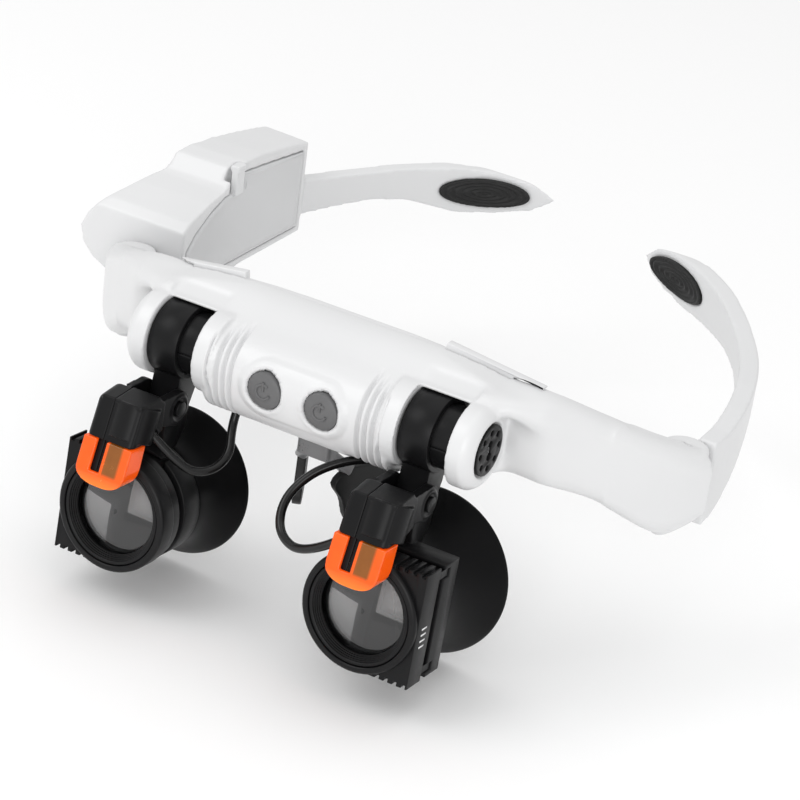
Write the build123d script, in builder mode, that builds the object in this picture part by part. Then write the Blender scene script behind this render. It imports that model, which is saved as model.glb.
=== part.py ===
from build123d import *
from math import atan2, cos, degrees, radians, sin, tan
import os

os.makedirs("parts", exist_ok=True)

# ---- driving dimensions, mm; the origin is the nose seat ----
shaft_y, shaft_z = -14.0, 20.0      # axis both loupes flip about
window_x, window_w = 33.0, 12.8     # middle and width of each window in the bar
boss_r = 10.0
window_r = 9.4
pd_shift = -2.3                     # both collars rest at the -X end of their travel
collar_r, collar_w = 8.85, 8.0
sleeve_r = 7.4
axle_r = 2.0
play = 0.05                         # radial clearance of a running fit
pitch = radians(6.0)                # the loupes sit tipped up by this much
drop = 38.6                         # shaft to optical axis
reach = 20.3                        # shaft to the front face of the lens ring
ring_r = 14.3
plate_half = 13.9
lens_r = 11.2
lens_curve = ((lens_r - 0.02) ** 2 + 1.5 ** 2) / 3.0
cup_r = 18.8
lamp_w = 12.5
hinge_x, hinge_y = 75.5, 25.5
cell_y, cell_tilt = 64.9, 3.5       # both cells lie tipped forward in their bay
lead_d = 2.1

back = Vector(0, cos(pitch), -sin(pitch))
up = Vector(0, sin(pitch), cos(pitch))


def spot(x, b, u):
    """A point given in the loupe's own tipped directions."""
    return Vector(x, shaft_y, shaft_z) + back * b + up * u


def front_plane(x, forward, height=0.0):
    """Faces the front; local x is +X, local y is up."""
    return Plane(origin=spot(x, -forward, height), x_dir=(1, 0, 0), z_dir=back * -1)


def side_plane(x):
    """Local x runs back, local y runs up, normal is +X."""
    return Plane(origin=spot(x, 0, 0), x_dir=back, z_dir=(1, 0, 0))


# where each lead runs, mm
leads = {
    "r": [(20.6, -9.5, 10.6), (18.8, -14.6, 8.4), (13.3, -19.5, 8.0), (7.6, -25.0, 4.7), (4.6, -30.5, -1.0),
          (7.4, -35.5, -6.6), (16.4, -39.6, -6.4), (25.6, -41.2, 1.6)],
    "l": [(-18.8, -11.0, 14.0), (-18.9, -13.6, 8.0), (-18.6, -16.0, 3.2), (-15.8, -20.4, -1.4), (-17.7, -25.9, -4.3),
          (-22.9, -30.1, -3.2), (-30.2, -32.4, 4.4)],
}
lamp_b, lamp_u = -6.4, -14.2        # lamp pivot in the loupe's directions


def door_outline(gap):
    """Battery door in Y and Z, grown by gap."""
    return [(33.2 - gap, 7.1 - gap), (87.6 + gap, 7.1 - gap), (87.6 + gap, 28.6 + gap), (66.0, 30.6 + gap),
            (57.8 - gap, 31.2 + gap), (57.8 - gap, 27.2 + gap), (49.6 - gap, 26.6 + gap), (43.0, 24.0 + gap),
            (37.0, 20.4 + gap), (33.2 - gap, 16.6 + gap)]


def save(shape, name):
    shape.label = name
    export_step(shape, "parts/" + name + ".step")


# ---- front bar ----
belly = [(-1.2, 33.6), (-7, 32.8), (-13.2, 29.7), (-18.5, 27.2), (-22.3, 22.5), (-22.6, 17.0),
         (-20.6, 11.0), (-15.5, 7.2), (-8.0, 6.4), (-1.2, 7.4)]
stations = [
    # x, y, direction in plan (deg from +X), thickness, top, bottom
    (42.5, -1.9, 6, 8.0, 32.0, 10.4),
    (54.0, 1.2, 37, 9.4, 30.6, 9.8),
    (64.0, 9.8, 45, 9.6, 25.2, 4.2),
    (72.0, 18.6, 53, 10.4, 20.2, -2.8),
    (76.9, 26.85, 78, 13.4, 16.8, -5.0),
]
with BuildPart() as front_shell:
    with BuildSketch(Plane.YZ.offset(-45)):
        with BuildLine():
            Spline(*belly)
            Line(belly[-1], belly[0])
        make_face()
    extrude(amount=90)
    # the top edge falls away towards the ends
    for s in (-1, 1):
        with BuildSketch(Plane.XZ.offset(-2)):
            with BuildLine():
                Polyline((s * 24, 33.7), (s * 35, 32.9), (s * 46, 31.2), (s * 46, 37), (s * 24, 37), close=True)
            make_face()
        extrude(amount=30, mode=Mode.SUBTRACT)
    for s in (-1, 1):
        for x, y, a, thick, top, bottom in stations:
            d = Vector(s * cos(radians(a)), sin(radians(a)), 0)
            across = Vector(0, 0, 1).cross(d)
            mid = (top + bottom) / 2
            with BuildSketch(Plane(origin=(s * x, y, mid), x_dir=across, z_dir=d)):
                RectangleRounded(thick, top - bottom, thick * 0.36)
        loft()
    # outboard of the windows' inner edges only the round boss is left in front
    for s in (-1, 1):
        with Locations((s * 39.4, shaft_y - 8.0, shaft_z - 10.0)):
            Box(30.4, 28.0, 20.0, mode=Mode.SUBTRACT)
        with Locations((s * 42.0, shaft_y + 9.5, shaft_z - 13.2)):
            Box(18.0, 8.0, 7.0, mode=Mode.SUBTRACT)
    for s in (-1, 1):
        with Locations(Location((s * 33.6, shaft_y, shaft_z), (0, 90, 0))):
            Cylinder(boss_r, 23.4)
        with Locations((s * hinge_x, hinge_y, 5.9)):
            Cylinder(5.6, 21.6)
    # hollow for the board, open at the back
    with BuildSketch(Plane.YZ.offset(-23.5)):
        with BuildLine():
            Polyline((-1.0, 31.2), (-8, 30.6), (-14, 27.6), (-19.4, 22.4), (-19.8, 17), (-17.8, 12.2),
                     (-13.5, 9.2), (-1.0, 9.4), close=True)
        make_face()
    extrude(amount=47, mode=Mode.SUBTRACT)
    for s in (-1, 1):
        # window with the collar's way out at the front and below
        with Locations(Location((s * window_x, shaft_y, shaft_z), (0, 90, 0))):
            Cylinder(window_r, window_w, mode=Mode.SUBTRACT)
        with Locations((s * window_x, shaft_y - 12.4, shaft_z - 2.1)):
            Box(window_w, 25, 32.2, mode=Mode.SUBTRACT)
        with Locations((s * window_x, shaft_y - 4.5, shaft_z - 10)):
            Box(window_w, 20, 12, mode=Mode.SUBTRACT)
        # pilot holes for the cover's screws
        for x, z in ((30.0, 11.5), (36.0, 29.0)):
            with Locations(Location((s * x, -4.0, z), (90, 0, 0))):
                Cylinder(1.1, 8.0, mode=Mode.SUBTRACT)
        # bores for the axle and its screw
        with Locations(Location((s * 35.0, shaft_y, shaft_z), (0, 90, 0))):
            Cylinder(axle_r, 21.0, mode=Mode.SUBTRACT)
        with Locations(Location((s * 45.0, shaft_y, shaft_z), (0, 90, 0))):
            Cylinder(6.5, 1.6, mode=Mode.SUBTRACT)
        # shallow ramp above the window
        with Locations((s * window_x, shaft_y + 3.2, shaft_z + 11.4)):
            with Locations(Rotation(24, 0, 0)):
                Box(window_w + 1.0, 5.0, 2.6, mode=Mode.SUBTRACT)
        # slot for the temple's lug, open behind, and the pin hole
        with Locations((s * hinge_x, hinge_y, 5.5)):
            Cylinder(6.3, 11.4, mode=Mode.SUBTRACT)
        with Locations((s * hinge_x, hinge_y + 6, 5.5)):
            Box(15, 12, 11.4, mode=Mode.SUBTRACT)
        with Locations((s * hinge_x, hinge_y, 8.0)):
            Cylinder(1.5, 18.4, mode=Mode.SUBTRACT)
    # button wells and the raised pill round them
    for s in (-1, 1):
        with Locations(Location((s * 7.4, -21, 19.3), (90, 0, 0))):
            Cylinder(4.75, 6.0, mode=Mode.SUBTRACT)

# ---- leads from the bar to the lamps, and the room they need ----
lead_room = {}
for side, route in leads.items():
    runs = [(Vector(*q) - Vector(*p)).length for p, q in zip(route, route[1:])]
    radii = []
    for i in range(1, len(route) - 1):
        p = Vector(*route[i]) - Vector(*route[i - 1])
        q = Vector(*route[i + 1]) - Vector(*route[i])
        turn = radians(p.get_angle(q))
        r = 0.45 * min(runs[i - 1], runs[i]) / tan(turn / 2)
        radii.append(round(r, 2))
    for r in (lead_d / 2, lead_d / 2 + 0.35):
        with BuildPart() as lead:
            with BuildLine() as path:
                FilletPolyline(*route, radius=radii)
            run = path.wire()
            with BuildSketch(Plane(origin=run @ 0, z_dir=run % 0)):
                Circle(r)
            sweep(path=run)
        if r == lead_d / 2:
            save(lead.part, "lead_" + side)
            ideal = 3.14159 * r ** 2 * run.length
            print("lead", side, "length", round(run.length, 1), "radii", radii,
                  "volume", round(lead.part.volume / ideal, 4))
        lead_room[side] = lead.part
front_shell.part = front_shell.part - lead_room["l"] - lead_room["r"]
save(front_shell.part, "front_shell")

# ---- rear cover, its clip strips and screws ----
with BuildPart() as rear_cover:
    with BuildSketch(Plane.XZ.offset(1.1)):
        with BuildLine():
            Spline((-47, 30.2), (-24, 33.0), (0, 33.4), (24, 33.0), (47, 30.2))
            Line((47, 30.2), (47, 10.4))
            Spline((47, 10.4), (24, 8.4), (0, 7.6), (-24, 8.4), (-47, 10.4))
            Line((-47, 10.4), (-47, 30.2))
        make_face()
    extrude(amount=-2.0)
    for x0, z0, x1, z1 in ((-46.5, 30.9, -28.0, 33.5), (25.0, 33.7, 50.0, 30.9)):
        with Locations(((x0 + x1) / 2, 0.4, (z0 + z1) / 2)):
            with Locations(Rotation(0, -degrees(atan2(z1 - z0, x1 - x0)), 0)):
                Box(x1 - x0, 2.2, 2.0)
    for x, z in ((-30, 11.5), (30, 11.5), (-36, 29), (36, 29)):
        with Locations(Location((x, 0.5, z), (90, 0, 0))):
            Cylinder(1.15, 8, mode=Mode.SUBTRACT)
with BuildPart() as cover_screws:
    for x, z in ((-30, 11.5), (30, 11.5), (-36, 29), (36, 29)):
        with Locations(Location((x, 1.3, z), (90, 0, 0))):
            Cylinder(1.9, 0.8)
        with Locations(Location((x, -3.0, z), (90, 0, 0))):
            Cylinder(1.1, 8.0)
# the strips stand on the plate, so cut them clear of the bar's top edge
rear_cover.part = rear_cover.part - front_shell.part
save(rear_cover.part, "rear_cover")
save(cover_screws.part, "cover_screws")

# ---- board, switches and buttons ----
with BuildPart() as circuit_board:
    with Locations((0, -9.0, 20.0)):
        Box(44.0, 1.6, 15.0)
save(circuit_board.part, "circuit_board")
with BuildPart() as switches:
    for s in (-1, 1):
        with Locations((s * 7.4, -11.8, 19.3)):
            Box(6.0, 4.0, 6.0)
save(switches.part, "switches")
for s, side in ((-1, "l"), (1, "r")):
    with BuildPart() as button:
        with Locations(Location((s * 7.4, -19.4, 19.3), (90, 0, 0))):
            Cylinder(4.4, 6.6)
        fillet(button.edges().sort_by(Axis.Y)[0], 0.7)
        with Locations(Location((s * 7.4, -15.65, 19.3), (90, 0, 0))):
            Cylinder(5.6, 1.0)
        with Locations(Location((s * 7.4, -14.9, 19.3), (90, 0, 0))):
            Cylinder(1.5, 0.6)
    save(button.part, "button_" + side)

# ---- per loupe ----
for s, side in ((-1, "l"), (1, "r")):
    wx = s * window_x
    xc = wx + pd_shift

    with BuildPart() as axle:
        with Locations(Location((s * 34.35, shaft_y, shaft_z), (0, 90, 0))):
            Cylinder(axle_r, 19.5)
    save(axle.part, "axle_" + side)

    # friction sleeve in two halves, parted on a level plane
    for half, name in ((1, "upper"), (-1, "lower")):
        with BuildPart() as sleeve:
            with Locations(Location((wx, shaft_y, shaft_z), (0, 90, 0))):
                Cylinder(sleeve_r, window_w - 0.4)
                Cylinder(axle_r + play, window_w, mode=Mode.SUBTRACT)
            with Locations((wx, shaft_y, shaft_z - half * 9.96)):
                Box(20, 20, 20, mode=Mode.SUBTRACT)
        save(sleeve.part, "sleeve_" + name + "_" + side)

    # end cap with its ring of small holes and keyed middle
    with BuildPart() as end_cap:
        with Locations(Location((s * 45.15, shaft_y, shaft_z), (0, 90, 0))):
            Cylinder(6.4, 1.9)
            with PolarLocations(4.6, 8):
                Cylinder(0.75, 3, mode=Mode.SUBTRACT)
        with Locations(Location((s * 46.0, shaft_y, shaft_z), (0, 90, 0))):
            Box(3.0, 1.2, 1.4, mode=Mode.SUBTRACT)
            with Locations((1.5, 0, 0), (-1.5, 0, 0)):
                Cylinder(1.1, 1.4, mode=Mode.SUBTRACT)
    save(end_cap.part, "end_cap_" + side)

    # collar and its necked arm down to the holder plate
    with BuildPart() as carrier:
        with Locations(Location((xc, shaft_y, shaft_z), (0, 90, 0))):
            Cylinder(collar_r, collar_w)
        with BuildSketch(side_plane(xc - 3.5)):
            with BuildLine():
                Polyline((-4.2, -5), (4.2, -5), (3.6, -12), (2.0, -16), (1.6, -22), (-2.6, -28),
                         (-5.0, -28), (-7.6, -22.5), (-7.2, -18.4), (-5.0, -12.5), close=True)
            make_face()
        extrude(amount=7.0)
        with Locations(Location((xc, shaft_y, shaft_z), (0, 90, 0))):
            Cylinder(sleeve_r + play, collar_w + 2, mode=Mode.SUBTRACT)
        # holder plate: round on the inner side, square on the outer
        with BuildSketch(front_plane(xc, reach - 10.0, -drop)):
            Circle(plate_half)
            with Locations((s * 7.2, 0)):
                Rectangle(14.4, 2 * plate_half)
        extrude(amount=-6.5)
        # grooves the lens module slides in, open on the outer side
        with BuildSketch(front_plane(xc, reach - 10.0, -drop)):
            with Locations((s * 4.35, 11.6), (s * 4.35, -11.6)):
                Rectangle(21.3, 2.2)
        extrude(amount=-2.4, mode=Mode.SUBTRACT)
        with BuildSketch(front_plane(xc, reach, -drop)):
            Circle(10.2)
        extrude(amount=-20, mode=Mode.SUBTRACT)
        with Locations(Location(spot(xc, lamp_b, lamp_u), (0, 90, 0))):
            Cylinder(1.0 + play, 8.0, mode=Mode.SUBTRACT)
    save(carrier.part, "carrier_" + side)

    # flared eyecup
    with BuildPart() as eyecup:
        with BuildSketch(side_plane(xc)):
            with BuildLine():
                Spline((-3.78, -drop + 13.2), (0.2, -drop + 13.6), (4.8, -drop + 15.2),
                       (10.2, -drop + cup_r))
                Line((10.2, -drop + cup_r), (10.6, -drop + cup_r - 1.3))
                Spline((10.6, -drop + cup_r - 1.3), (5.4, -drop + 13.7), (0.4, -drop + 12.0), (-3.78, -drop + 11.6))
                Line((-3.78, -drop + 11.6), (-3.78, -drop + 13.2))
            make_face()
        revolve(axis=Axis(spot(xc, 0, -drop), back))
    eyecup.part = eyecup.part - carrier.part
    save(eyecup.part, "eyecup_" + side)

    # lens module: ring tube and square plate with stepped grips, on two rails
    with BuildPart() as module:
        with BuildSketch(front_plane(xc, reach - 1.4, -drop)):
            Circle(plate_half)
            with Locations((s * 7.2, 0)):
                Rectangle(14.4, 2 * plate_half)
            for k in range(4):
                for v in (-1, 1):
                    with Locations((s * (13.4 - 2.2 * k), v * (plate_half - 0.2))):
                        Rectangle(1.0, 1.2, mode=Mode.SUBTRACT)
        extrude(amount=-6.5)
        with BuildSketch(front_plane(xc, reach, -drop)):
            Circle(ring_r)
        extrude(amount=-5.0)
        with BuildSketch(front_plane(xc, reach - 7.9, -drop)):
            with Locations((s * 4.1, 11.6), (s * 4.1, -11.6)):
                Rectangle(20.2, 2.0)
        extrude(amount=-4.3)
        with BuildSketch(front_plane(xc, reach, -drop)):
            Circle(12.6)
        extrude(amount=-1.2, mode=Mode.SUBTRACT)
        with BuildSketch(front_plane(xc, reach, -drop)):
            Circle(lens_r)
        extrude(amount=-5.6, mode=Mode.SUBTRACT)
        with BuildSketch(front_plane(xc, reach, -drop)):
            Circle(10.2)
        extrude(amount=-20, mode=Mode.SUBTRACT)
    save(module.part, "module_" + side)

    with BuildPart() as lens:
        with BuildSketch(side_plane(xc)):
            with BuildLine():
                Line((-14.72, -drop), (-14.72, -drop + lens_r - 0.02))
                Line((-14.72, -drop + lens_r - 0.02), (-17.0, -drop + lens_r - 0.02))
                RadiusArc((-17.0, -drop + lens_r - 0.02), (-18.5, -drop), -lens_curve)
                Line((-18.5, -drop), (-14.72, -drop))
            make_face()
        revolve(axis=Axis(spot(xc, 0, -drop), back))
    save(lens.part, "lens_" + side)

    with BuildPart() as lens_ring:
        with BuildSketch(front_plane(xc, reach - 0.1, -drop)):
            Circle(12.55)
            Circle(10.3, mode=Mode.SUBTRACT)
        extrude(amount=-1.1)
        with BuildSketch(front_plane(xc, reach - 1.2, -drop)):
            Circle(lens_r - 0.05)
            Circle(10.3, mode=Mode.SUBTRACT)
        extrude(amount=-1.2)
    save(lens_ring.part, "lens_ring_" + side)

    # lamp: two shell halves parted lengthwise with ears round the arm
    upper = [(-22.6, -9.9), (-16.0, -9.0), (-13.6, -10.6), (-13.2, -17.6), (-17.6, -19.3), (-25.4, -19.3)]
    core = [(-21.0, -19.3), (-24.2, -19.3), (-26.7, -27.7), (-23.2, -28.2), (-22.1, -25.0)]
    for name, x0, x1 in (("inner", -lamp_w / 2, -1.55), ("outer", -1.5, lamp_w / 2)):
        c0 = x0 + 1.4 if name == "inner" else x0
        c1 = x1 - 1.4 if name == "outer" else x1
        e0, e1 = (-5.7, -3.65) if name == "inner" else (3.65, 5.7)
        with BuildPart() as shell:
            with BuildSketch(side_plane(xc + x0)):
                with BuildLine():
                    Polyline(*upper, close=True)
                make_face()
            extrude(amount=x1 - x0)
            with BuildSketch(side_plane(xc + c0)):
                with BuildLine():
                    Polyline(*core, close=True)
                make_face()
            extrude(amount=c1 - c0)
            with BuildSketch(side_plane(xc + e0)):
                with Locations((lamp_b, lamp_u)):
                    Circle(4.2)
                with BuildLine():
                    Polyline((-14.6, -10.4), (lamp_b, lamp_u + 4.1), (lamp_b, lamp_u - 4.1), (-14.6, -16.8),
                             close=True)
                make_face()
            extrude(amount=e1 - e0)
            with Locations(Location(spot(xc + (e0 + e1) / 2, lamp_b, lamp_u), (0, 90, 0))):
                Cylinder(1.0, 4, mode=Mode.SUBTRACT)
            # well for the emitter and the hole where the lead goes in
            with BuildSketch(side_plane(xc - 2.6)):
                with BuildLine():
                    Polyline((-22.6, -21.0), (-24.0, -21.0), (-27.0, -30.0), (-23.6, -30.0), close=True)
                make_face()
            extrude(amount=5.2, mode=Mode.SUBTRACT)
        save(shell.part - lead_room[side], "lamp_shell_" + name + "_" + side)

    with BuildPart() as led:
        with BuildSketch(side_plane(xc - 2.4)):
            with BuildLine():
                Polyline((-22.8, -21.2), (-23.9, -21.2), (-26.2, -27.8), (-24.4, -27.8), close=True)
            make_face()
        extrude(amount=4.8)
    save(led.part, "led_" + side)

    # amber cap: a trough round the lower end, slotted in front
    with BuildPart() as lamp_cap:
        with BuildSketch(side_plane(xc - lamp_w / 2 - 0.2)):
            with BuildLine():
                Polyline((-19.9, -19.45), (-25.7, -19.45), (-28.1, -28.0), (-27.2, -29.3), (-22.6, -29.7),
                         (-21.0, -25.0), close=True)
            make_face()
        extrude(amount=lamp_w + 0.4)
        with BuildSketch(side_plane(xc - lamp_w / 2 + 1.3)):
            with BuildLine():
                Polyline((-20.9, -19.0), (-24.35, -19.0), (-26.9, -27.9), (-26.8, -28.3), (-23.1, -28.5),
                         (-22.0, -25.0), close=True)
            make_face()
        extrude(amount=lamp_w - 2.6, mode=Mode.SUBTRACT)
        with BuildSketch(side_plane(xc - 2.9)):
            with BuildLine():
                Polyline((-23.8, -18.0), (-29, -18.0), (-29.6, -26.6), (-25.9, -26.2), close=True)
            make_face()
        extrude(amount=2.7, mode=Mode.SUBTRACT)
    save(lamp_cap.part - lead_room[side], "lamp_cap_" + side)

    with BuildPart() as lamp_screw:
        with Locations(Location(spot(xc, lamp_b, lamp_u), (0, 90, 0))):
            Cylinder(1.0, 11.4)
        with Locations(Location(spot(xc + 6.1, lamp_b, lamp_u), (0, 90, 0))):
            Cylinder(1.9, 0.8)
    save(lamp_screw.part, "lamp_screw_" + side)

# ---- nose piece ----
with BuildPart() as nose_bracket:
    with Locations((0, -8.0, 3.5)):
        Box(9.0, 5.0, 6.6)
    fillet(nose_bracket.edges().filter_by(Axis.Z), 1.2)
    for s in (-1, 1):
        with BuildSketch(Plane(origin=(s * 2.6, -8.0, 1.2), z_dir=(s * 0.45, 0.55, -0.55))):
            RectangleRounded(3.0, 3.0, 0.8)
        extrude(amount=7.6)
nose_bracket.part = nose_bracket.part - front_shell.part
for s, side in ((-1, "l"), (1, "r")):
    with BuildPart() as nose_pad:
        with BuildSketch(Plane(origin=(s * 7.4, 1.5, -10.0), x_dir=(s * 0.44, 0.9, 0), z_dir=(s * 0.9, -0.44, 0))):
            with BuildLine():
                Spline((-6.2, 6.6), (0, 7.6), (6.4, 6.2), (7.6, 1.0), (5.0, -6.6), (0.5, -9.0), (-4.4, -6.4),
                       (-6.9, 0.0), (-6.2, 6.6), tangents=((1, 0.6), (1, 0.6)))
            make_face()
        extrude(amount=2.2)
    fillet(nose_pad.edges().filter_by(lambda e: e.length > 20), 0.7)
    nose_bracket.part = nose_bracket.part - nose_pad.part
    save(nose_pad.part, "nose_pad_" + side)
save(nose_bracket.part, "nose_bracket")


# ---- temples ----
def offset_curve(points, amount):
    """Shift a plan path to its left by amount."""
    out = []
    for i, (x, y) in enumerate(points):
        xa, ya = points[max(i - 1, 0)]
        xb, yb = points[min(i + 1, len(points) - 1)]
        d = Vector(xb - xa, yb - ya, 0).normalized()
        out.append((x - d.Y * amount, y + d.X * amount))
    return out


def band(points, left, right, z0, z1):
    """Solid between two curves either side of a plan path."""
    a = offset_curve(points, left)
    b = offset_curve(points, right)
    with BuildPart() as made:
        with BuildSketch(Plane.XY.offset(z0)):
            with BuildLine():
                Spline(*a)
                Line(a[-1], b[-1])
                Spline(*reversed(b))
                Line(b[0], a[0])
            make_face()
        extrude(amount=z1 - z0)
    return made.part


def profile(points, x0, x1):
    """Closed outline in Y and Z, drawn through the points, extruded along X."""
    with BuildPart() as made:
        with BuildSketch(Plane.YZ.offset(x0)):
            with BuildLine():
                Polyline(*points, close=True)
            make_face()
        extrude(amount=x1 - x0)
    return made.part


def pad_prism(centre, tangent, half_long, half_tall, depth):
    """Pointed oval prism through the head side of a temple."""
    t = Vector(tangent[0], tangent[1], 0).normalized()
    n = Vector(0, 0, 1).cross(t)
    with BuildPart() as made:
        with BuildSketch(Plane(origin=Vector(*centre) - n * depth, x_dir=t, z_dir=n)):
            Ellipse(half_long, half_tall)
        extrude(amount=2 * depth)
    return made.part


right_path = [(78.3, 31.3), (78.3, 44), (75.2, 60), (69.2, 76), (60.5, 91), (49.5, 105.5), (37, 116.5), (22, 125.5),
              (18.6, 127.2)]
right_side = [(31.3, 16.6), (38, 17.0), (48, 18.4), (60, 19.4), (85, 19.6), (100, 20.2), (115, 20.6), (119, 20.2),
              (122.4, 18.6), (124.4, 14.6), (122.8, 10.6), (119.6, 8.4), (114, 7.9), (104, 9.0), (92, 11.0),
              (80, 11.8), (66, 10.8), (57, 7.6), (50, 3.6), (42, -0.6), (36, -3.4), (31.3, -4.8)]
left_path = [(-71.5, 85), (-66.0, 93), (-58.5, 105), (-50, 117.5), (-39.5, 128.0), (-29, 135.4), (-17.5, 141),
             (-14.0, 142.6)]
left_side = [(84, 20.2), (93, 19.6), (105, 20.0), (117, 20.4), (127, 20.8), (133, 20.4), (137.6, 18.4),
             (140.4, 14.2), (137.6, 10.0), (133, 8.0), (127, 7.7), (117, 11.2), (108, 12.0), (98, 11.0), (84, 8.6)]

temple_r = band(right_path, 2.3, -2.5, -8, 24) & profile(right_side, 0, 95)
grip = band(right_path, 3.1, 1.4, 0, 24) & pad_prism((35.0, 119.2, 14.2), (-0.85, 0.53), 12.5, 4.0, 6)
temple_r = temple_r - grip
with BuildPart() as lug:
    with Locations((hinge_x, hinge_y, 5.5)):
        Cylinder(5.4, 11.0)
    with Locations((hinge_x + 0.9, hinge_y + 4.0, 5.5)):
        Box(5.6, 8.0, 11.0)
    with Locations((hinge_x, hinge_y, 5.5)):
        Cylinder(1.55, 12, mode=Mode.SUBTRACT)
save(temple_r + lug.part, "temple_r")
save(grip, "ear_pad_r")

arm_l = band(left_path, -2.2, 2.0, -8, 26) & profile(left_side, -95, 0)
grip = band(left_path, -2.9, -1.3, 0, 24) & pad_prism((-33.2, 132.7, 14.1), (0.84, 0.54), 12.5, 4.0, 6)
arm_l = arm_l - grip
save(grip, "ear_pad_l")

# battery case: plan, side and front outlines meet
case_side = [(31.3, 22.2), (34, 24.4), (42, 27.0), (48.5, 28.4), (50, 29.1), (53.6, 33.0), (58, 34.0), (66, 33.9),
             (80, 32.2), (91.5, 30.4), (91.5, 5.4), (60, 5.2), (46, 3.2), (37, -1.4), (31.3, -4.2)]
with BuildPart() as battery_case:
    with BuildSketch(Plane.XY.offset(-10)):
        with BuildLine():
            Polyline((-65, 31.3), (-65, 89.3), (-80, 91.5), (-81.2, 62), (-84.0, 50), (-90.0, 41), (-95, 35),
                     (-95.9, 31.3), close=True)
        make_face()
    extrude(amount=50)
    with BuildSketch(Plane.XZ.offset(-20)):
        with BuildLine():
            Polyline((-62, 40), (-82, 40), (-85.4, 27.9), (-90.5, 23.6), (-94.1, 19.2), (-95.9, 15.3), (-94.9, 11.2),
                     (-91.7, 7.8), (-86.3, 5.1), (-82.7, -1), (-76, -8), (-62, -8), close=True)
        make_face()
    extrude(amount=-80, mode=Mode.INTERSECT)
battery_case.part = battery_case.part & profile(case_side, -100, -55)
with BuildPart() as hollow:
    # door seat, battery bay, latch notch
    with BuildSketch(Plane.YZ.offset(-66.7)):
        with BuildLine():
            Polyline(*door_outline(0.15), close=True)
        make_face()
    extrude(amount=4)
    with Locations(Location((-71.9, cell_y, 16.2), (cell_tilt, 0, 0))):
        Box(11.4, 46.8, 21.6)
    with Locations((-65.0, 54.6, 31.0)):
        Box(5.0, 6.0, 8.6)
with BuildPart() as lug:
    with Locations((-hinge_x, hinge_y, 5.5)):
        Cylinder(5.4, 11.0)
    with Locations((-hinge_x - 0.9, hinge_y + 4.0, 5.5)):
        Box(5.6, 8.0, 11.0)
    with Locations((-hinge_x, hinge_y, 5.5)):
        Cylinder(1.55, 12, mode=Mode.SUBTRACT)
battery_case.part = battery_case.part + (arm_l - hollow.part) + lug.part - hollow.part
save(battery_case.part, "battery_case")
print("case solids", len(battery_case.part.solids()))

with BuildPart() as battery_door:
    with BuildSketch(Plane.YZ.offset(-66.6)):
        with BuildLine():
            Polyline(*door_outline(0), close=True)
        make_face()
    extrude(amount=1.6)
    with Locations((-65.8, 60.4, 7.2)):
        Box(4.0, 60.0, 1.4, mode=Mode.SUBTRACT)
    # round lower edge on the hinge line
    with Locations(Location((-65.8, 60.4, 7.9), (90, 0, 0))):
        Cylinder(0.8, 54.4)
    with Locations((-65.2, 54.6, 30.0)):
        Box(1.8, 3.6, 8.0)
save(battery_door.part, "battery_door")

with BuildPart() as batteries:
    with Locations(Location((-72.2, cell_y, 16.2), (cell_tilt, 0, 0))):
        for k in (-1, 1):
            with Locations(Location((0, 0, 5.3 * k), (90, 0, 0))):
                Cylinder(5.25, 43.6)
            with Locations(Location((0, 22.25 * k, 5.3 * k), (90, 0, 0))):
                Cylinder(1.9, 0.9)
save(batteries.part, "batteries")
with BuildPart() as contacts:
    with Locations(Location((-72.2, cell_y, 16.2), (cell_tilt, 0, 0))):
        for v in (-1, 1):
            for k in (-1, 1):
                with Locations((0, 23.08 * v, 5.3 * k)):
                    Box(8.0, 0.5, 8.0)
save(contacts.part, "contacts")

with BuildPart() as hinge_pins:
    for s in (-1, 1):
        with Locations((s * hinge_x, hinge_y, 7.0)):
            Cylinder(1.5, 16.0)
save(hinge_pins.part, "hinge_pins")
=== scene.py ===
from math import atan2, cos, exp, pi, radians, sin, sqrt

import bmesh
import bpy
from mathutils import Matrix, Vector


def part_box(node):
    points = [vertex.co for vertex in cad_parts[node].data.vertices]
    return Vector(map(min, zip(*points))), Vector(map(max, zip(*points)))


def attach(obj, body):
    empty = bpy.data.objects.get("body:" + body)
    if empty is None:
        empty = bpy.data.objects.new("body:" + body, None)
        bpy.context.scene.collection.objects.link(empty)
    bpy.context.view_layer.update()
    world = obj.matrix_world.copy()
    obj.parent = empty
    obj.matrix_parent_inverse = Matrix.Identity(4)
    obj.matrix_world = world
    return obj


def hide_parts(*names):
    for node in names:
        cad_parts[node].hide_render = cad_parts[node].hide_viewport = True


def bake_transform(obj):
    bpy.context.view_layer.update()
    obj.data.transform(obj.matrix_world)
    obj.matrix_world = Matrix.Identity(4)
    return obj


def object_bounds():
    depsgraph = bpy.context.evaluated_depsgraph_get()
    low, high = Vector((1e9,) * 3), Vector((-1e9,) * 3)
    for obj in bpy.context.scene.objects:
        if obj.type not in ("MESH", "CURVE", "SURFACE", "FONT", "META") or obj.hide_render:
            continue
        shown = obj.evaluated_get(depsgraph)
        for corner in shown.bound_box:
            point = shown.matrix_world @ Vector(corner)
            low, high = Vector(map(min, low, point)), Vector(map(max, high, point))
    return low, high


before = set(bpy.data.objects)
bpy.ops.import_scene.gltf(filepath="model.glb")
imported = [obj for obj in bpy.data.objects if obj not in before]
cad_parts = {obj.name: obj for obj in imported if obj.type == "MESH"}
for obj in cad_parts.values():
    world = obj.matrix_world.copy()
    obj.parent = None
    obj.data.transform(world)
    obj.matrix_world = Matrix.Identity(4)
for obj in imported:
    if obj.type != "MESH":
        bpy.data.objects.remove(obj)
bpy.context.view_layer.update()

scene = bpy.context.scene
mm = 0.001
sides = {"l": -1, "r": 1}
print("frame loaded:", len(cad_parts), "nodes")


# places read from the frame
def middle(node):
    low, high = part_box(node)
    return (low + high) / 2


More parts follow.
